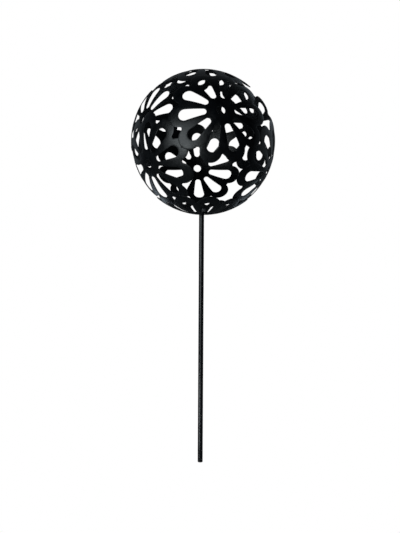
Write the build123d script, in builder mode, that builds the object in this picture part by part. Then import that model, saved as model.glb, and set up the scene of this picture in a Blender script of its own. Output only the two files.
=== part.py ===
from build123d import *
from math import sin, cos, tan, atan2, asin, acos, sqrt, hypot, radians, degrees
import os

os.makedirs("parts", exist_ok=True)

# Garden stake topped by an openwork globe.  Eight identical daisy blanks,
# pressed to a spherical dish, are lapped and tack-welded into a ball that
# screws onto the reduced, threaded head of a plain round stake.  The ball
# leans a little over its hub, so its centre stands beside the stake's axis.
# Millimetres.  +Z up, origin at the centre of the stake's cut foot,
# -Y is the front, +X is the right.

# ---------------------------------------------------------------- globe
GLOBE_D = 225.0          # over the outer layer of sheet
SHEET = 1.0              # sheet thickness
COAT_GAP = 0.1           # coating between lapped sheets
GLOBE_X = 2.3            # globe's centre, to the right of the stake's axis
GLOBE_Z = 504.5          # height of the globe's centre
GLOBE_CENTRE = (GLOBE_X, 0, GLOBE_Z)

R_OUT = GLOBE_D / 2      # outer layer, outside
R_LAP = R_OUT - SHEET    # outer layer, inside
R_IN = R_LAP - COAT_GAP  # inner layer, outside
R_BORE = R_IN - SHEET    # inner layer, inside

# ---------------------------------------------------------------- daisy
# Degrees seen from the globe's centre, unless marked mm.
# "At" values are measured from the daisy's axis.
PETALS = 10
LOBE_AT = 30.7           # centre of each rounded lobe
LOBE_R = 8.8             # radius of each rounded lobe
LOBE_END = 86.0          # half sweep of the lobe's arc, about its own centre
NOTCH_AT = 31.8          # bottom of the notch between lobes
SLOT_IN_AT = 13.0        # narrow end of the petal opening
SLOT_IN_R = 2.35
SLOT_OUT_AT = 27.0       # wide end of the petal opening
SLOT_OUT_R = 4.5
EYE_R = 6.3              # centre hole, mm
EYE_CUT_H = 20           # height of the cylinder that cuts it, mm
DISH_REACH = 46          # half angle of the uncut dish, beyond the petals
CUT_LEVELS = (79.0, 118.0)   # mm from the globe's centre, ends of the cutting cones

# name: azimuth (0 = front, + to the right), latitude, roll of the first petal, layer
DAISIES = {
    # the bottom daisy's eye is centred on the stake's axis
    "daisy_bottom": (-90.0, -degrees(acos(GLOBE_X / R_OUT)), 25.3, "outer"),
    "daisy_upper_front": (13.2, 17.4, 3.5, "outer"),
    "daisy_upper_right": (130.0, 19.9, 3.7, "outer"),
    "daisy_upper_left": (-113.5, 21.1, 35.5, "outer"),
    "daisy_top": (14.2, 85.5, 13.8, "inner"),
    "daisy_lower_front_left": (-50.8, -20.3, 12.1, "inner"),
    "daisy_lower_right": (75.4, -23.3, 22.2, "inner"),
    "daisy_lower_back": (-174.5, -16.5, 17.1, "inner"),
}

# ---------------------------------------------------------------- lap tacks
BEAD_R = 2.1
BEAD_SINK = 0.6          # bead's centre below the inner sheet's outside
BED_GAP = 0.005          # bead's underside above the inner sheet's outside

# Tack welds on the rims of the outer daisies, where they lap the inner
# ones: azimuth, latitude
LAP_TACKS = [
    (7.3, 50.7), (34.2, 52.5),          # upper front over top
    (108.4, 55.8), (145.5, 57.7),       # upper right over top
    (-89.8, 56.4), (-129.1, 58.5),      # upper left over top
    (-16.0, -9.5), (-25.1, 7.5),        # upper front over lower front left
    (42.5, -8.1),                       # upper front over lower right
    (93.3, 8.0), (109.0, -9.0),         # upper right over lower right
    (152.3, -5.6), (163.5, 10.5),       # upper right over lower back
    (-140.5, -6.4), (-152.6, 12.4),     # upper left over lower back
    (-82.9, -4.6),                      # upper left over lower front left
    (-64.6, -49.6), (-28.5, -50.0),     # bottom over lower front left
    (69.9, -55.2), (49.1, -51.6),       # bottom over lower right
    (-175.0, -51.5),                    # bottom over lower back
]

# ---------------------------------------------------------------- stake
ROD_D = 8.0
THREAD_D = 6.0           # M6 x 1 head
THREAD_TIP = 3.0         # thread standing above the nut
FOOT_CHAMFER = 0.4
TIP_CHAMFER = 0.8

# ---------------------------------------------------------------- hub
PLATE_D = 30.0
PLATE_T = 2.5
PLATE_GAP = 0.02         # under the plate, to the daisy and to the washer
PLATE_HOLE_R = 3.3
PLATE_CHAMFER = 0.4
NUT_AF = 10.0            # across flats
NUT_H = 5.0
NUT_BORE_R = THREAD_D / 2 + 0.05    # M6 weld nut, runs clear of the thread
WASHER_D = 12.0
WASHER_T = 1.6
WASHER_HOLE_R = 3.2
WASHER_FILLET = 0.25
TACK_R = 2.0
TACK_OFFSET = 0.6        # tack's centre outside the plate's rim and above its underside
TACKS = 4

# The plate is square to the stake and rests on the side the globe leans from.
PLATE_Z = GLOBE_Z - sqrt(R_LAP**2 - (PLATE_D / 2 + GLOBE_X) ** 2) + PLATE_GAP
WASHER_Z = PLATE_Z - PLATE_GAP - WASHER_T
NUT_Z = PLATE_Z + PLATE_T
TIP_Z = NUT_Z + NUT_H + THREAD_TIP


def save(part, name):
    part.label = name
    export_step(part, f"parts/{name}.step")


def globe_plane(azimuth, latitude, roll=0):
    """Plane at the globe's centre, facing out along azimuth and latitude."""
    az, lat, turn = radians(azimuth), radians(latitude), radians(roll)
    outward = Vector(sin(az) * cos(lat), -cos(az) * cos(lat), sin(lat))
    east = Vector(cos(az), sin(az), 0)
    north = outward.cross(east)
    return Plane(
        origin=GLOBE_CENTRE, x_dir=east * cos(turn) + north * sin(turn), z_dir=outward
    )


# ---------------------------------------------------------------- daisy outlines
def cone_point(along, across, height):
    """Point of a cone from the globe's centre, on the plane at this height.
    along / across are degrees on the developed blank."""
    polar = radians(hypot(along, across))
    around = atan2(across, along)
    return (height * tan(polar) * cos(around), height * tan(polar) * sin(around))


def arc_points(centre_at, radius, start, sweep, steps, height):
    """Points along an arc drawn on the developed blank."""
    angles = [radians(start + sweep * i / steps) for i in range(steps + 1)]
    return [
        cone_point(centre_at + radius * cos(a), radius * sin(a), height) for a in angles
    ]


def turned(point, petals):
    """Point turned about the daisy's axis by a number of petals."""
    x, y = point
    a = radians(360.0 / PETALS * petals)
    return (x * cos(a) - y * sin(a), x * sin(a) + y * cos(a))


def rim_edges(height):
    """Scalloped rim: one spline per lobe, one short arc per notch."""
    lobe = arc_points(LOBE_AT, LOBE_R, -LOBE_END, 2 * LOBE_END, 8, height)
    notch = turned(cone_point(NOTCH_AT, 0, height), 0.5)
    for k in range(PETALS):
        Spline(*[turned(point, k) for point in lobe])
        ThreePointArc(turned(lobe[-1], k), turned(notch, k), turned(lobe[0], k + 1))


def slot_edges(height):
    """Drop-shaped petal opening, narrow end toward the centre."""
    # lean of the straight sides, tangent to both end arcs
    lean = degrees(asin((SLOT_OUT_R - SLOT_IN_R) / (SLOT_OUT_AT - SLOT_IN_AT)))
    wide = arc_points(
        SLOT_OUT_AT, SLOT_OUT_R, -(90 + lean), 180 + 2 * lean, 8, height
    )
    narrow = arc_points(SLOT_IN_AT, SLOT_IN_R, 90 + lean, 180 - 2 * lean, 6, height)
    Spline(*wide)
    Line(wide[-1], narrow[0])
    Spline(*narrow)
    Line(narrow[-1], wide[0])


def make_cone(draw_edges):
    """Solid whose sides cut square to the sheet: rulings run to the globe's centre."""
    with BuildPart() as cone:
        for level in CUT_LEVELS:
            with BuildSketch(Plane.XY.offset(level)):
                with BuildLine():
                    draw_edges(level)
                make_face()
        loft(ruled=True)
    return cone.part


# ---------------------------------------------------------------- pieces
def make_blank(r_outside, r_inside, rim_cone, slot_cutter):
    """Daisy with its axis up and the globe's centre at the origin."""
    reach = radians(DISH_REACH)
    with BuildPart() as blank:
        # dished sheet
        with BuildSketch(Plane.XZ):
            with BuildLine():
                CenterArc((0, 0), r_outside, 90 - DISH_REACH, DISH_REACH)
                Line((0, r_outside), (0, r_inside))
                CenterArc((0, 0), r_inside, 90 - DISH_REACH, DISH_REACH)
                Line(
                    (r_inside * sin(reach), r_inside * cos(reach)),
                    (r_outside * sin(reach), r_outside * cos(reach)),
                )
            make_face()
        revolve(axis=Axis.Z)
        add(rim_cone, mode=Mode.INTERSECT)
        # petal openings
        with PolarLocations(0, PETALS):
            add(slot_cutter, mode=Mode.SUBTRACT)
        # centre eye
        with Locations((0, 0, R_OUT)):
            Cylinder(EYE_R, EYE_CUT_H, mode=Mode.SUBTRACT)
    return blank.part


def place_daisy(blank, azimuth, latitude, roll):
    with BuildPart() as daisy:
        with Locations(globe_plane(azimuth, latitude, roll)):
            add(blank)
    return daisy.part


def make_bead():
    """Low dome over the outer sheet's cut edge, bedded on the inner sheet's
    face; drawn with the globe's centre at the origin."""
    bead_z = R_IN - BEAD_SINK
    bed_r = R_IN + BED_GAP
    # where the dome's arc meets the bed's
    meet_z = (bead_z**2 + bed_r**2 - BEAD_R**2) / (2 * bead_z)
    meet_x = sqrt(bed_r**2 - meet_z**2)
    dome_start = degrees(atan2(meet_z - bead_z, meet_x))
    bed_start = degrees(atan2(meet_z, meet_x))
    with BuildPart() as bead:
        with BuildSketch(Plane.XZ):
            with BuildLine():
                CenterArc((0, bead_z), BEAD_R, dome_start, 90 - dome_start)
                Line((0, bead_z + BEAD_R), (0, bed_r))
                CenterArc((0, 0), bed_r, bed_start, 90 - bed_start)
            make_face()
        revolve(axis=Axis.Z)
    return bead.part


def make_lap_tacks(bead):
    with BuildPart() as tacks:
        for azimuth, latitude in LAP_TACKS:
            with Locations(globe_plane(azimuth, latitude)):
                add(bead)
    return tacks.part


def make_hub_plate():
    """Disc inside the bottom daisy, over its centre eye."""
    with BuildPart() as plate:
        with BuildSketch(Plane.XY.offset(PLATE_Z)):
            Circle(PLATE_D / 2)
            Circle(PLATE_HOLE_R, mode=Mode.SUBTRACT)
        extrude(amount=PLATE_T)
        top_circles = plate.edges().filter_by(GeomType.CIRCLE).group_by(Axis.Z)[-1]
        chamfer(top_circles.sort_by(SortBy.RADIUS)[-1], PLATE_CHAMFER)
    return plate.part


def make_hub_tacks(hub_plate):
    """Beads joining the plate's rim to the bottom daisy."""
    with BuildPart() as tacks:
        with Locations((0, 0, PLATE_Z + TACK_OFFSET)):
            with PolarLocations(PLATE_D / 2 + TACK_OFFSET, TACKS, start_angle=45):
                Sphere(TACK_R)
        add(hub_plate, mode=Mode.SUBTRACT)
        # trimmed to the inside of the outer sheet
        with Locations(GLOBE_CENTRE):
            Sphere(R_LAP, mode=Mode.INTERSECT)
    return tacks.part


def make_hub_nut():
    """Hexagonal weld nut on the plate, its top corners bevelled."""
    nut_top = NUT_Z + NUT_H
    corner = NUT_AF / 2 / cos(radians(30))
    clear_r = corner + 0.02     # just outside the corners
    cut_r = corner + 1          # outer side of the bevel cutter
    with BuildPart() as nut:
        with BuildSketch(Plane.XY.offset(NUT_Z)):
            RegularPolygon(NUT_AF / 2, 6, major_radius=False)
            Circle(NUT_BORE_R, mode=Mode.SUBTRACT)
        extrude(amount=NUT_H)
        with BuildSketch(Plane.XZ):
            with BuildLine():
                Polyline(
                    (cut_r, NUT_Z - 1),
                    (cut_r, nut_top + 1),
                    (NUT_AF / 2 - 1.5, nut_top + 1),
                    (NUT_AF / 2 - 0.2, nut_top),    # bevel's inner edge
                    (clear_r, nut_top - 0.5),       # bevel's outer edge
                    (clear_r, NUT_Z - 1),
                    (cut_r, NUT_Z - 1),
                )
            make_face()
        revolve(axis=Axis.Z, mode=Mode.SUBTRACT)
    return nut.part


def make_seat_washer():
    """Washer between the stake's shoulder and the plate, outer edges rounded."""
    with BuildPart() as washer:
        with BuildSketch(Plane.XY.offset(WASHER_Z)):
            Circle(WASHER_D / 2)
            Circle(WASHER_HOLE_R, mode=Mode.SUBTRACT)
        extrude(amount=WASHER_T)
        circles = washer.edges().filter_by(GeomType.CIRCLE)
        fillet(circles.filter_by(lambda e: e.radius > WASHER_D / 2 - 0.1), WASHER_FILLET)
    return washer.part


def make_stake_rod():
    """Plain round bar with a shouldered head; the thread is left plain."""
    with BuildPart() as rod:
        with BuildSketch():
            Circle(ROD_D / 2)
        extrude(amount=WASHER_Z)
        with BuildSketch(Plane.XY.offset(WASHER_Z)):
            Circle(THREAD_D / 2)
        extrude(amount=TIP_Z - WASHER_Z)
        chamfer(rod.edges().filter_by(GeomType.CIRCLE).sort_by(Axis.Z)[-1], TIP_CHAMFER)
        chamfer(rod.edges().filter_by(GeomType.CIRCLE).sort_by(Axis.Z)[0], FOOT_CHAMFER)
    return rod.part


# ---------------------------------------------------------------- build
rim_cone = make_cone(rim_edges)
slot_cutter = make_cone(slot_edges)
blanks = {
    "outer": make_blank(R_OUT, R_LAP, rim_cone, slot_cutter),
    "inner": make_blank(R_IN, R_BORE, rim_cone, slot_cutter),
}
for name, (azimuth, latitude, roll, layer) in DAISIES.items():
    save(place_daisy(blanks[layer], azimuth, latitude, roll), name)

save(make_lap_tacks(make_bead()), "lap_tacks")
hub_plate = make_hub_plate()
save(hub_plate, "hub_plate")
save(make_hub_tacks(hub_plate), "hub_tacks")
save(make_hub_nut(), "hub_nut")
save(make_seat_washer(), "seat_washer")
save(make_stake_rod(), "stake_rod")
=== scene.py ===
# Garden stake: a round bar carrying a globe of eight pierced ten-petal daisies, pressed
# from sheet, lapped and tack-welded.
# The bar stands on the floor at the origin and runs up +Z; the globe's centre is 2.3 mm
# towards +X from the bar's axis.  Front is -Y.  Azimuth is 0 at the front and grows
# towards +X; latitude grows upwards.
import bpy
import math
import numpy as np
from mathutils import Matrix, Vector


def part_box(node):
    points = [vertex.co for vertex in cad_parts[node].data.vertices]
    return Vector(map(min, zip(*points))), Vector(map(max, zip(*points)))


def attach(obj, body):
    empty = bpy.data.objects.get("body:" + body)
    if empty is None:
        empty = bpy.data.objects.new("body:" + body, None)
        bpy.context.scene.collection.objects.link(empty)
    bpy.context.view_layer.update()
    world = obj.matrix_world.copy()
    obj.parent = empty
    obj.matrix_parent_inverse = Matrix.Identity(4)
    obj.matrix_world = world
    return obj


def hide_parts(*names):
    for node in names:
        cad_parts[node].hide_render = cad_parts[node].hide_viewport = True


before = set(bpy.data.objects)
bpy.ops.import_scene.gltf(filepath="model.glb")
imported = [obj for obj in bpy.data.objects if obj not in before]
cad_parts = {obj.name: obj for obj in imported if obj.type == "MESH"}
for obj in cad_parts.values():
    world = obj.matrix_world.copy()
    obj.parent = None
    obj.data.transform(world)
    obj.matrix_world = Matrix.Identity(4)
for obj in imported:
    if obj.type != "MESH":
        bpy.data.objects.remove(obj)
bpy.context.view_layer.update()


# ------------------------------------------------------------------ sizes
MM = 0.001                              # sizes are in mm, meshes in metres

# globe: two layers of sheet, a small gap between them
GLOBE_X, GLOBE_Z = 2.3, 504.5
GLOBE_CENTRE = np.array([GLOBE_X, 0.0, GLOBE_Z]) * MM
GLOBE_R = 112.5
SHEET = 1.0
LAP_GAP = 0.1
LAP_R = GLOBE_R - SHEET                 # underside of the outer layer
INNER_R = LAP_R - LAP_GAP               # top of the inner layer
LAYERS = {"outer": (GLOBE_R, LAP_R), "inner": (INNER_R, INNER_R - SHEET)}
MM_PER_DEGREE = math.pi / 180 * GLOBE_R

# daisy outline, in degrees from the daisy's axis; "AT" is the centre of a circle
PETALS = 10
HALF_PETAL = 180 / PETALS
RAY = (math.cos(math.radians(HALF_PETAL)), math.sin(math.radians(HALF_PETAL)))
EYE_R = math.degrees(math.asin(6.3 / GLOBE_R))      # central hole
SLOT_IN_AT, SLOT_IN_R = 13.0, 2.35      # petal opening: two circles and their tangents
SLOT_OUT_AT, SLOT_OUT_R = 27.0, 4.5
LOBE_AT, LOBE_R = 30.7, 8.8             # rounded petal end
LOBE_END = 86.0                         # angle on the lobe where the notch takes over
NOTCH_AT = 31.8                         # bottom of the notch between petals

# sheet edges
EDGE_ROUND = 0.28                       # rounding radius of a cut edge
CROWN, CROWN_WIDTH = 0.16, 3.6          # sheet sinks by CROWN towards an edge
DIP = 0.15                              # mean depth of the slow dips in the pressed sheet
MERGE_GRID = 2e-7                       # metres; points closer than this are joined

# azimuth, latitude, roll about its own axis (degrees), layer
DAISIES = {
    "daisy_bottom": (-90.0, -math.degrees(math.acos(GLOBE_X / GLOBE_R)), 25.3, "outer"),
    "daisy_upper_front": (13.2, 17.4, 3.5, "outer"),
    "daisy_upper_right": (130.0, 19.9, 3.7, "outer"),
    "daisy_upper_left": (-113.5, 21.1, 35.5, "outer"),
    "daisy_top": (14.2, 85.5, 13.8, "inner"),
    "daisy_lower_front_left": (-50.8, -20.3, 12.1, "inner"),
    "daisy_lower_right": (75.4, -23.3, 22.2, "inner"),
    "daisy_lower_back": (-174.5, -16.5, 17.1, "inner"),
}

# azimuth, latitude of each tack weld on the laps (degrees)
LAP_TACKS = [
    (7.3, 50.7), (34.2, 52.5), (108.4, 55.8), (145.5, 57.7), (-89.8, 56.4), (-129.1, 58.5),
    (-16.0, -9.5), (-25.1, 7.5), (42.5, -8.1), (93.3, 8.0), (109.0, -9.0), (152.3, -5.6),
    (163.5, 10.5), (-140.5, -6.4), (-152.6, 12.4), (-82.9, -4.6), (-64.6, -49.6),
    (-28.5, -50.0), (69.9, -55.2), (49.1, -51.6), (-175.0, -51.5),
]
BEAD_R, BEAD_HEIGHT = 2.0, 1.5
BEAD_SINK = 0.25                        # bead base below the inner layer's top
BEAD_BELLY = 0.12                       # underside of the bead below its base

# bar
BAR_R = 4.0
BAR_STEP = 4.0                          # spacing of the rings along the bar
BAR_FLAW = 0.03                         # greatest inward unevenness
SEAT_RING, SEAT_DROP = 17.3, 1.6        # seat lies under the lap sphere at this radius
SEAT = (GLOBE_Z - math.sqrt(LAP_R**2 - SEAT_RING**2) - SEAT_DROP) * MM
THREAD_PITCH = 1.0 * MM
THREAD_ROOT_R, THREAD_DEPTH = 2.45, 0.55
THREAD_TIP_R = 2.2                      # start of the 45 degree lead at the tip
RINGS_PER_TURN = 12
BAR_SEGMENTS = 72
# radius, height above the floor
BAR_FOOT = [(2.0, 0.0), (3.3, 0.0), (3.55, 0.01), (3.66, 0.06), (3.93, 0.34), (3.985, 0.45),
            (BAR_R, 0.62)]
# radius, depth below the seat
BAR_SHOULDER = [(BAR_R, 0.3), (3.96, 0.12), (3.85, 0.02), (3.7, 0), (3.2, 0),
                (THREAD_ROOT_R, 0)]


# ------------------------------------------------------------------ helpers
def direction(azimuth, latitude):
    a, b = math.radians(azimuth), math.radians(latitude)
    return np.array([math.sin(a) * math.cos(b), -math.cos(a) * math.cos(b), math.sin(b)])


def axes(local_x, normal):
    """Rotation whose columns are local x, y and z."""
    return np.stack([local_x, np.cross(normal, local_x), normal], 1)


def add_object(name, data):
    ob = bpy.data.objects.new(name, data)
    bpy.context.scene.collection.objects.link(ob)
    return ob


def make_object(name, verts, faces, smooth=True):
    me = bpy.data.meshes.new(name)
    sizes = np.array([len(f) for f in faces], np.int32)
    corners = np.concatenate([np.asarray(f, np.int32) for f in faces])
    starts = np.concatenate([[0], np.cumsum(sizes)[:-1]]).astype(np.int32)
    me.vertices.add(len(verts))
    me.vertices.foreach_set("co", np.asarray(verts, np.float32).ravel())
    me.loops.add(len(corners))
    me.loops.foreach_set("vertex_index", corners)
    me.polygons.add(len(faces))
    me.polygons.foreach_set("loop_start", starts)
    me.polygons.foreach_set("loop_total", sizes)
    me.polygons.foreach_set("use_smooth", np.full(len(faces), smooth))
    me.update(calc_edges=True)
    me.validate()
    return add_object(name, me)


# ------------------------------------------------------------------ materials
def add_node(tree, kind, inputs=None):
    node = tree.nodes.new(kind)
    for name, value in (inputs or {}).items():
        node.inputs[name].default_value = value
    return node


def empty_material(name):
    material = bpy.data.materials.new(name)
    material.use_nodes = True
    material.node_tree.nodes.clear()
    return material, material.node_tree


def principled_material(name):
    """Material, its tree, its Principled node and object coordinates."""
    material, tree = empty_material(name)
    output = add_node(tree, "ShaderNodeOutputMaterial")
    bsdf = add_node(tree, "ShaderNodeBsdfPrincipled")
    tree.links.new(bsdf.outputs[0], output.inputs["Surface"])
    coord = add_node(tree, "ShaderNodeTexCoord").outputs["Object"]
    return material, tree, bsdf, coord


def noise(tree, coord, scale, detail, roughness):
    node = add_node(tree, "ShaderNodeTexNoise",
                    {"Scale": scale, "Detail": detail, "Roughness": roughness})
    tree.links.new(coord, node.inputs["Vector"])
    return node.outputs["Fac"]


def ramp(tree, factor, stops):
    """Colour ramp from (position, rgb) stops."""
    node = tree.nodes.new("ShaderNodeValToRGB")
    elements = node.color_ramp.elements
    for element, (position, rgb) in zip((elements[0], elements[1]), (stops[0], stops[-1])):
        element.position = position
        element.color = (*rgb, 1)
    for position, rgb in stops[1:-1]:
        elements.new(position).color = (*rgb, 1)
    tree.links.new(factor, node.inputs[0])
    return node.outputs["Color"]


def remap(tree, factor, low, high):
    """Spread the noise's middle range over low..high."""
    node = add_node(tree, "ShaderNodeMapRange",
                    {"From Min": 0.3, "From Max": 0.7, "To Min": low, "To Max": high})
    tree.links.new(factor, node.inputs["Value"])
    return node.outputs[0]


def bump(tree, height, distance, strength, normal=None):
    node = add_node(tree, "ShaderNodeBump", {"Strength": strength, "Distance": distance})
    tree.links.new(height, node.inputs["Height"])
    if normal is not None:
        tree.links.new(normal, node.inputs["Normal"])
    return node.outputs[0]


def powder_coat(name, dark, light, rough, peel, mottle, press=0.55, stretch=None):
    """Near-black coat; peel, mottle and press are the strengths of its bumps."""
    material, tree, bsdf, coord = principled_material(name)
    if stretch:
        mapping = add_node(tree, "ShaderNodeMapping", {"Scale": stretch})
        tree.links.new(coord, mapping.inputs["Vector"])
        coord = mapping.outputs[0]
    # orange peel under 1 mm, sprayed unevenness, slow waves, pressed surface of 3 to 4 mm
    peel_noise = noise(tree, coord, scale=1300, detail=2.0, roughness=0.55)
    mottle_noise = noise(tree, coord, scale=95, detail=4.0, roughness=0.6)
    wave_noise = noise(tree, coord, scale=34, detail=2.0, roughness=0.5)
    press_noise = noise(tree, coord, scale=310, detail=3.0, roughness=0.65)
    middle = tuple((a + b) / 2 for a, b in zip(dark, light))
    tree.links.new(ramp(tree, mottle_noise, [(0.32, dark), (0.55, middle), (0.75, light)]),
                   bsdf.inputs["Base Color"])
    tree.links.new(remap(tree, mottle_noise, *rough), bsdf.inputs["Roughness"])
    normal = bump(tree, wave_noise, distance=0.0012, strength=mottle)
    normal = bump(tree, press_noise, distance=0.0003, strength=press, normal=normal)
    normal = bump(tree, peel_noise, distance=0.00012, strength=peel, normal=normal)
    tree.links.new(normal, bsdf.inputs["Normal"])
    return material


def plated_steel(name):
    material, tree, bsdf, coord = principled_material(name)
    cloud = noise(tree, coord, scale=420, detail=4.0, roughness=0.6)
    fine = noise(tree, coord, scale=2600, detail=2.0, roughness=0.5)
    greys = [(0.35, (0.22, 0.22, 0.225)), (0.7, (0.40, 0.40, 0.41))]
    tree.links.new(ramp(tree, cloud, greys), bsdf.inputs["Base Color"])
    tree.links.new(remap(tree, cloud, low=0.28, high=0.5), bsdf.inputs["Roughness"])
    tree.links.new(bump(tree, fine, distance=0.0001, strength=0.2), bsdf.inputs["Normal"])
    bsdf.inputs["Metallic"].default_value = 1.0
    return material


SHEET_TONES = {"dark": (0.0020, 0.0026, 0.0036), "light": (0.0062, 0.0074, 0.0096)}
ROD_TONES = {"dark": (0.0024, 0.0028, 0.0036), "light": (0.0068, 0.0076, 0.0092)}
MATERIALS = {
    "sheet_coat": powder_coat("sheet_coat", **SHEET_TONES, rough=(0.26, 0.38),
                              peel=0.22, mottle=0.25),
    "rod_coat": powder_coat("rod_coat", **ROD_TONES, rough=(0.25, 0.38),
                            peel=0.20, mottle=0.15, press=0.12, stretch=(1.0, 1.0, 0.55)),
    "weld_coat": powder_coat("weld_coat", **ROD_TONES, rough=(0.28, 0.45),
                             peel=0.5, mottle=0.3),
    "fitting_steel": plated_steel("fitting_steel"),
}


def give(ob, slot):
    ob.data.materials.clear()
    ob.data.materials.append(MATERIALS[slot])


def stand_in(ob, part, node, slot):
    """Ob moves with the part, takes the place of the CAD node and gets its material."""
    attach(ob, part)
    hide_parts(node)
    give(ob, slot)


# ------------------------------------------------------------------ daisies
def on_circle(at, radius, angle):
    """Point on a circle centred on the petal's middle line."""
    return (at + radius * math.cos(math.radians(angle)), radius * math.sin(math.radians(angle)))


def notch_curve():
    """Arc from the notch bottom (0) to the lobe's end (1), centred on the ray."""
    lobe_end = np.array(on_circle(LOBE_AT, LOBE_R, LOBE_END))
    axis = np.array(RAY)
    bottom = axis * NOTCH_AT
    chord = lobe_end - bottom
    radius = (chord @ chord) / (2 * (chord @ axis))
    centre = bottom + axis * radius
    end_angle = math.atan2(*(lobe_end - centre)[::-1])
    bottom_angle = math.atan2(*(bottom - centre)[::-1])

    def curve(u):
        a = bottom_angle + (end_angle - bottom_angle) * u
        return tuple(centre + radius * np.array([math.cos(a), math.sin(a)]))

    return curve


def half_petal_columns():
    """Columns across one half petal, in degrees (along, across): points on the petal
    opening, matching points on the outer boundary, and whether those lie on a cut edge
    or on the ray shared with the next petal."""
    tangent = 90 + math.degrees(math.asin((SLOT_OUT_R - SLOT_IN_R) / (SLOT_OUT_AT - SLOT_IN_AT)))
    eye_span = 135                      # angle on the inner circle where the ray starts
    notch_start, notch_sweep = 83.5, 11.1       # on the outer circle, facing the notch
    ray_in, ray_out = 11.0, 27.6        # reach on the ray beside the opening's straight

    def inner_end(angle):
        return on_circle(SLOT_IN_AT, SLOT_IN_R, angle)

    def outer_end(angle):
        return on_circle(SLOT_OUT_AT, SLOT_OUT_R, angle)

    def ray(reach):
        return (reach * RAY[0], reach * RAY[1])

    (x0, y0), (x1, y1) = inner_end(tangent), outer_end(tangent)

    # columns, opening, boundary, boundary is a cut edge; u runs 0..1 over each span
    spans = [
        (6, lambda u: inner_end(180 - (180 - eye_span) * u),
         lambda u: on_circle(0, EYE_R, HALF_PETAL * u), True),
        (6, lambda u: inner_end(eye_span - (eye_span - tangent) * u),
         lambda u: ray(EYE_R + (ray_in - EYE_R) * u**1.35), False),
        (11, lambda u: (x0 + (x1 - x0) * u, y0 + (y1 - y0) * u),
         lambda u: ray(ray_in + (ray_out - ray_in) * u), False),
        (4, lambda u: outer_end(tangent - (tangent - notch_start) * u),
         lambda u: ray(ray_out + (NOTCH_AT - ray_out) * (1 - (1 - u) ** 1.3)), False),
        (4, lambda u: outer_end(notch_start - notch_sweep * u), notch_curve(), True),
        (15, lambda u: outer_end((notch_start - notch_sweep) * (1 - u)),
         lambda u: on_circle(LOBE_AT, LOBE_R, LOBE_END * (1 - u)), True),
    ]
    columns = [(opening(i / count), boundary(i / count), is_edge)
               for count, opening, boundary, is_edge in spans for i in range(count)]
    _, opening, boundary, is_edge = spans[-1]
    columns.append((opening(1.0), boundary(1.0), is_edge))
    return [np.array(column) for column in zip(*columns)]


def edge_distance(points):
    """Distance in mm from points (degrees) to the nearest cut edge."""
    x, y = points[..., 0], np.abs(points[..., 1])
    span = SLOT_OUT_AT - SLOT_IN_AT
    # normal of the opening's straight side: across, along
    slope = (SLOT_IN_R - SLOT_OUT_R) / span
    across = math.sqrt(1 - slope * slope)
    along = x - SLOT_IN_AT
    side = -slope * y + across * along
    opening = np.where(side < 0, np.hypot(y, along) - SLOT_IN_R,
                       np.where(side > across * span, np.hypot(y, along - span) - SLOT_OUT_R,
                                across * y + slope * along - SLOT_IN_R))
    reach = np.hypot(x, y)
    to_notch = np.hypot(x - NOTCH_AT * RAY[0], y - NOTCH_AT * RAY[1])
    to_lobe = np.maximum(LOBE_R - np.hypot(x - LOBE_AT, y), 0)
    rim = np.where(reach < NOTCH_AT, to_notch, to_lobe)
    nearest = np.minimum(np.minimum(opening, reach - EYE_R), rim)
    return np.maximum(nearest, 0) * MM_PER_DEGREE


def half_petal_quads(row_count, is_edge):
    """Quads of one half petal: top, underside, wall of the opening, outer wall."""
    count = len(is_edge)
    top = np.arange(row_count * count).reshape(row_count, count)
    low = top + row_count * count
    edge = np.flatnonzero(is_edge[:-1])
    strips = [
        (top[:-1, :-1], top[:-1, 1:], top[1:, 1:], top[1:, :-1]),
        (low[:-1, :-1], low[1:, :-1], low[1:, 1:], low[:-1, 1:]),
        (top[0, :-1], low[0, :-1], low[0, 1:], top[0, 1:]),
        (top[-1, edge], top[-1, edge + 1], low[-1, edge + 1], low[-1, edge]),
    ]
    return np.concatenate([np.stack(corners, -1).reshape(-1, 4) for corners in strips])


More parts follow.
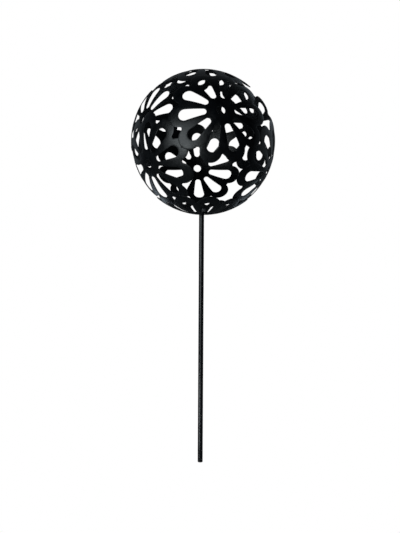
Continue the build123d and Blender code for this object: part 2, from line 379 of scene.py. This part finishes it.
def daisy_blank(top_r, low_r):
    """Vertices (metres, axis +Z, globe's centre at the origin) and quads of one dished
    ten-petal blank with rounded edges."""
    opening, boundary, is_edge = half_petal_columns()
    length = np.linalg.norm(boundary - opening, axis=1) * MM_PER_DEGREE

    # rows run from the opening to the boundary, close together on the rounded edges
    insets = [EDGE_ROUND * (1 - math.cos(math.radians(a))) for a in (0, 30, 60, 90)]
    low, high = insets[-1] / length, 1 - insets[-1] / length
    rows = np.array([inset / length for inset in insets]
                    + [low + (high - low) * u for u in np.linspace(0, 1, 7)[1:-1]]
                    + [1 - inset / length for inset in insets[::-1]])
    points = opening[None] + (boundary - opening)[None] * rows[..., None]

    # distance to a cut edge: exact along a column that ends on one
    from_opening = rows * length
    beyond = np.where(is_edge, (1 - rows) * length, edge_distance(points))
    distance = np.minimum(from_opening, beyond)
    first_ray = np.argmin(is_edge)
    distance[-1, first_ray] = 0.0       # the ray meets the eye here

    inset = EDGE_ROUND - distance
    rounding = np.where(distance < EDGE_ROUND,
                        EDGE_ROUND - np.sqrt(np.maximum(EDGE_ROUND**2 - inset**2, 0)), 0)
    crown = CROWN * np.maximum(1 - distance / CROWN_WIDTH, 0) ** 2
    surfaces = (top_r - crown - rounding, low_r - crown + rounding)
    reach = np.radians(np.hypot(points[..., 0], points[..., 1]))
    turn = np.arctan2(points[..., 1], points[..., 0])

    half_quads = half_petal_quads(len(rows), is_edge)
    verts, quads = [], []
    for petal in range(PETALS):
        for sign in (1, -1):
            a = turn * sign + 2 * math.pi / PETALS * petal
            rays = np.stack([np.sin(reach) * np.cos(a), np.sin(reach) * np.sin(a),
                             np.cos(reach)], -1)
            quads.append(half_quads[:, ::sign] + len(verts) * rows.size)
            verts += [(rays * (radius * MM)[..., None]).reshape(-1, 3) for radius in surfaces]
    verts, quads = np.concatenate(verts), np.concatenate(quads)

    # join the half petals along their shared lines
    key = np.round(verts / MERGE_GRID).astype(np.int64)
    _, first, inverse = np.unique(key, axis=0, return_index=True, return_inverse=True)
    return verts[first], inverse.reshape(-1)[quads]


def smooth_noise(points, seed, scale):
    """Smooth 3-D noise of about -1..1 from a few random plane waves."""
    rng = np.random.default_rng(seed)
    total = np.zeros(len(points))
    for _ in range(10):
        wave = rng.normal(size=3)
        wave *= scale * rng.uniform(0.6, 1.5) / np.linalg.norm(wave)
        total += np.sin(points @ wave + rng.uniform(0, 2 * math.pi))
    return total / 4.5


def daisy_axes(azimuth, latitude, roll):
    a, r = math.radians(azimuth), math.radians(roll)
    normal = direction(azimuth, latitude)
    east = np.array([math.cos(a), math.sin(a), 0.0])
    north = np.cross(normal, east)
    return axes(east * math.cos(r) + north * math.sin(r), normal)


def build_daisies():
    blanks = {layer: daisy_blank(*radii) for layer, radii in LAYERS.items()}
    for i, (name, (azimuth, latitude, roll, layer)) in enumerate(DAISIES.items()):
        verts, quads = blanks[layer]
        verts = verts @ daisy_axes(azimuth, latitude, roll).T
        # pressed sheet is never a perfect sphere
        unit = verts / np.linalg.norm(verts, axis=1, keepdims=True)
        dip = DIP + DIP * np.clip(smooth_noise(unit, seed=40 + i, scale=5.0), -1, 1)
        verts = verts - unit * (dip * MM)[:, None]
        sheet = make_object(name + "_sheet", verts + GLOBE_CENTRE, quads)
        stand_in(sheet, "globe", name, "sheet_coat")


# ------------------------------------------------------------------ tack beads
def bead_mesh(seed):
    """Low irregular weld bead on the local z = 0 plane, axis +Z."""
    rng = np.random.default_rng(seed)
    rings, segs = 12, 36
    phase = rng.uniform(0, 2 * math.pi, 4)
    stretch = rng.uniform(0.0, 0.12)
    turn = rng.uniform(0, math.pi)
    three_lobes, five_lobes = 0.05, 0.035       # unevenness of the outline
    height = BEAD_HEIGHT * MM

    verts = [(0.0, 0.0, height)]
    for ring in range(1, rings + 1):
        u = ring / rings
        dome = height * (1 - u**2.4) ** 0.6
        for s in range(segs):
            a = 2 * math.pi * s / segs
            outline = (1 + three_lobes * math.sin(3 * a + phase[0])
                       + five_lobes * math.sin(5 * a + phase[1])
                       + stretch * math.cos(2 * (a - turn)))
            r = BEAD_R * MM * u * outline / (1 + three_lobes + five_lobes + stretch)
            z = dome
            if u > 0.1:                 # ripples, kept off the crown
                ripple = math.sin(u * 13 + phase[2] + 0.6 * math.cos(a - turn))
                z += height * 0.05 * ripple * (1 - u)
            verts.append((r * math.cos(a), r * math.sin(a), z))
    bottom = len(verts)
    verts.append((0.0, 0.0, -BEAD_BELLY * MM))

    following = [(s, (s + 1) % segs) for s in range(segs)]
    faces = [(0, 1 + s, 1 + t) for s, t in following]
    for ring in range(rings - 1):
        near = 1 + ring * segs
        far = near + segs
        faces += [(near + s, far + s, far + t, near + t) for s, t in following]
    rim = bottom - segs
    faces += [(rim + t, rim + s, bottom) for s, t in following]
    return np.array(verts), faces


def build_lap_tacks():
    side = np.array([0.31, 0.17, 0.93])         # any direction no bead's normal lies along
    verts, faces, offset = [], [], 0
    for i, (azimuth, latitude) in enumerate(LAP_TACKS):
        bead_verts, bead_faces = bead_mesh(seed=100 + i)
        normal = direction(azimuth, latitude)
        local_x = np.cross(normal, side)
        local_x /= np.linalg.norm(local_x)
        base = normal * ((INNER_R - BEAD_SINK) * MM) + GLOBE_CENTRE
        verts.append(bead_verts @ axes(local_x, normal).T + base)
        faces += [tuple(corner + offset for corner in face) for face in bead_faces]
        offset += len(bead_verts)
    beads = make_object("lap_tack_beads", np.concatenate(verts), faces)
    stand_in(beads, "globe", "lap_tacks", "weld_coat")


# ------------------------------------------------------------------ stake
def circle(z, radius_at):
    """Ring of points at height z; radius_at gives the radius for an angle."""
    ring = []
    for s in range(BAR_SEGMENTS):
        a = 2 * math.pi * s / BAR_SEGMENTS
        r = radius_at(a)
        ring.append((r * math.cos(a), r * math.sin(a), z))
    return ring


def join_rings(rings):
    """Skin over rings stacked upwards; the first and last are single points."""
    verts, faces, low = [], [], []
    for points in rings:
        high = list(range(len(verts), len(verts) + len(points)))
        verts += points
        for s in range(BAR_SEGMENTS if low else 0):
            t = (s + 1) % BAR_SEGMENTS
            if len(low) == 1:
                faces.append((low[0], high[t], high[s]))
            elif len(high) == 1:
                faces.append((low[s], low[t], high[0]))
            else:
                faces.append((low[s], low[t], high[t], high[s]))
        low = high
    return np.array(verts, float), faces


def bar_profile():
    """Radius and height in metres, from the foot to the root of the thread."""
    profile = [(r * MM, z * MM) for r, z in BAR_FOOT]
    z = profile[-1][1]
    while z < SEAT - 4.2 * MM:
        z += BAR_STEP * MM
        profile.append((BAR_R * MM, min(z, SEAT - 0.4 * MM)))
    return profile + [(r * MM, SEAT - depth * MM) for r, depth in BAR_SHOULDER]


def bar_radius(r, z, a):
    """Bar stock and coat: slightly uneven except at the two ends."""
    if r < 3.9 * MM or z > SEAT - 1 * MM or z < 1 * MM:
        return r
    flaw = 0.5 + 0.25 * math.sin(a * 3 + z * 61) + 0.25 * math.sin(a * 2 - z * 173 + 1.3)
    return r - BAR_FLAW * MM * flaw


def thread_radius(z, a, tip):
    """Helical V thread that fades in above the seat and tapers at the tip."""
    phase = (z / THREAD_PITCH - a / (2 * math.pi)) % 1.0
    triangle = abs(phase * 2 - 1)
    crest = min(max((triangle - 0.14) / 0.62, 0), 1)    # flats at root and crest
    r = min(THREAD_ROOT_R + THREAD_DEPTH * crest, THREAD_TIP_R + (tip - z) / MM)
    above_seat = (z - SEAT) / MM
    if above_seat < 0.8:
        r = THREAD_ROOT_R + (r - THREAD_ROOT_R) * max(above_seat - 0.3, 0) / 0.5
    return r * MM


def build_bar():
    tip = float(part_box("stake_rod")[1][2])
    thread_rings = int((tip - SEAT) / THREAD_PITCH * RINGS_PER_TURN)
    rings = [[(0, 0, 0.0)]]
    for r, z in bar_profile():
        rings.append(circle(z, lambda a: bar_radius(r, z, a)))
    for j in range(1, thread_rings + 1):
        z = SEAT + (tip - SEAT) * j / thread_rings
        rings.append(circle(z, lambda a: thread_radius(z, a, tip)))
    rings.append([(0, 0, tip)])
    bar = make_object("stake_bar", *join_rings(rings))
    stand_in(bar, "stake", "stake_rod", "rod_coat")


# ------------------------------------------------------------------ hub fittings
def dress_hub():
    for node, slot in (("hub_plate", "sheet_coat"), ("hub_tacks", "weld_coat"),
                       ("hub_nut", "fitting_steel"), ("seat_washer", "fitting_steel")):
        give(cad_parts[node], slot)
    # the triangulated domes carry a doubled point each; joined here
    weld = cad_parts["hub_tacks"].modifiers.new("doubled_points", "WELD")
    weld.merge_threshold = 1e-6


build_daisies()
build_lap_tacks()
build_bar()
dress_hub()


# ------------------------------------------------------------------ floor and world
def camera_switch(tree, output, for_camera, for_others):
    """Show one shader to the camera and another to every other ray."""
    path = add_node(tree, "ShaderNodeLightPath")
    mix = add_node(tree, "ShaderNodeMixShader")
    tree.links.new(path.outputs["Is Camera Ray"], mix.inputs[0])
    tree.links.new(for_others.outputs[0], mix.inputs[1])
    tree.links.new(for_camera.outputs[0], mix.inputs[2])
    tree.links.new(mix.outputs[0], output.inputs["Surface"])


def build_floor():
    """Floor that looks white and reflects as grey."""
    corners = np.array([(-4, -4, 0), (4, -4, 0), (4, 4, 0), (-4, 4, 0)], float)
    floor = make_object("floor", corners, [(0, 1, 2, 3)], smooth=False)
    material, tree = empty_material("pale_floor")
    output = add_node(tree, "ShaderNodeOutputMaterial")
    white = add_node(tree, "ShaderNodeEmission", {"Color": (1.0, 1.0, 1.0, 1)})
    grey = add_node(tree, "ShaderNodeBsdfDiffuse", {"Color": (0.30, 0.30, 0.30, 1)})
    camera_switch(tree, output, for_camera=white, for_others=grey)
    floor.data.materials.append(material)


def build_world():
    """White to the camera; a dim cool glow from behind (+Y) for the lighting."""
    world = bpy.data.worlds.new("studio")
    bpy.context.scene.world = world
    world.use_nodes = True
    tree = world.node_tree
    tree.nodes.clear()
    output = add_node(tree, "ShaderNodeOutputWorld")
    white = add_node(tree, "ShaderNodeBackground", {"Color": (1, 1, 1, 1), "Strength": 1.0})
    glow = add_node(tree, "ShaderNodeBackground", {"Color": (0.82, 0.92, 1.0, 1)})
    coord = add_node(tree, "ShaderNodeTexCoord")
    split = add_node(tree, "ShaderNodeSeparateXYZ")
    tree.links.new(coord.outputs["Generated"], split.inputs[0])
    strength = add_node(tree, "ShaderNodeMapRange")
    strength.interpolation_type = "SMOOTHSTEP"
    for name, value in (("From Min", -0.1), ("From Max", 0.85),
                        ("To Min", 0.001), ("To Max", 0.127)):
        strength.inputs[name].default_value = value
    tree.links.new(split.outputs["Y"], strength.inputs["Value"])
    tree.links.new(strength.outputs[0], glow.inputs["Strength"])
    camera_switch(tree, output, for_camera=white, for_others=glow)


build_floor()
build_world()

# ------------------------------------------------------------------ lights
COOL, COOLER = (0.88, 0.97, 1.0), (0.74, 0.88, 1.0)

# name, direction from the globe's centre, distance (m), size (m), power (W), colour
GLOBE_LIGHTS = [
    ("key", (-0.41, -0.90, 0.16), 1.5, (0.5, 0.5), 0.7, COOL),
    ("key_broad", (-0.47, -0.87, 0.08), 1.4, (1.3, 1.1), 4.6, COOL),
    ("key_side", (-0.66, -0.74, 0.02), 1.5, (0.5, 0.7), 1.7, COOL),
    ("key_low", (-0.40, -0.88, -0.14), 1.4, (0.5, 0.4), 1.4, COOL),
    ("key_floor", (-0.52, -0.80, -0.30), 1.1, (0.4, 0.2), 0.45, COOL),
    ("rim_right", (0.80, 0.75, 0.10), 1.4, (0.7, 0.9), 0.22, COOLER),
    ("side_right", (1.0, 0.2, 0.0), 1.4, (0.6, 0.9), 0.22, COOLER),
    ("rim_left", (-0.80, 0.75, 0.10), 1.4, (0.7, 0.9), 0.15, COOLER),
    ("rim_high", (0.58, 0.70, 0.50), 1.3, (0.6, 0.6), 0.52, COOLER),
    ("rim_low_left", (-0.55, 0.72, -0.48), 0.8, (0.45, 0.12), 0.18, COOLER),
    ("rim_low_right", (0.55, 0.72, -0.48), 0.8, (0.45, 0.12), 0.13, COOLER),
]


def softbox(name, at, target, size, power, color):
    light = bpy.data.lights.new(name, "AREA")
    light.shape = "RECTANGLE"
    light.size, light.size_y = size
    light.energy = power
    light.color = color
    ob = add_object(name, light)
    ob.location = at
    ob.rotation_euler = (Vector(target) - Vector(at)).to_track_quat("-Z", "Y").to_euler()
    return ob


for name, toward, distance, size, power, color in GLOBE_LIGHTS:
    place = Vector(GLOBE_CENTRE) + Vector(toward).normalized() * distance
    softbox(name, place, GLOBE_CENTRE, size, power, color)

# two small low lights for the lower half of the stake
foot_light = softbox("foot_light", at=(-0.19, -0.26, 0.03), target=(0, 0, 0.08),
                     size=(0.12, 0.05), power=0.052, color=COOL)
foot_low = softbox("foot_low", at=(-0.052, -0.075, 0.008), target=(0, 0, 0.03),
                   size=(0.05, 0.012), power=0.010, color=COOL)
for ob in (foot_light, foot_low):
    ob.visible_camera = False
foot_light.data.spread = math.radians(80)       # kept off the globe

# ------------------------------------------------------------------ camera
# The globe's centre is DISTANCE (m) away and RISE above the camera; the camera is
# aimed DROP below that line and turned LEAN about it.
DISTANCE = 1.1286
RISE, DROP, LEAN = math.radians(6.637), math.radians(9.4), math.radians(0.339)


def sight(x, y, z):
    """From axes on the line of sight (right, up, back to camera) to the scene."""
    x, y = (x * math.cos(LEAN) - y * math.sin(LEAN),
            x * math.sin(LEAN) + y * math.cos(LEAN))
    return Vector((x, -(y * math.sin(RISE) + z * math.cos(RISE)),
                   y * math.cos(RISE) - z * math.sin(RISE)))


def build_camera():
    lens = bpy.data.cameras.new("camera")
    camera = add_object("camera", lens)
    right = sight(1, 0, 0)
    up = sight(0, math.cos(DROP), -math.sin(DROP))
    back = sight(0, math.sin(DROP), math.cos(DROP))
    place = Vector(GLOBE_CENTRE) + sight(0, 0, 1) * DISTANCE
    turn = Matrix((right, up, back)).transposed().to_4x4()
    camera.matrix_world = Matrix.Translation(place) @ turn
    lens.sensor_fit = "AUTO"
    lens.sensor_width = 36.0            # mm
    lens.lens = 48.261614               # focal length, mm
    lens.shift_x = -0.0064727955        # fractions of the picture's longer side
    lens.shift_y = -0.010225141
    lens.clip_start = 0.01
    bpy.context.scene.camera = camera


build_camera()
bpy.context.scene.view_settings.view_transform = "Standard"
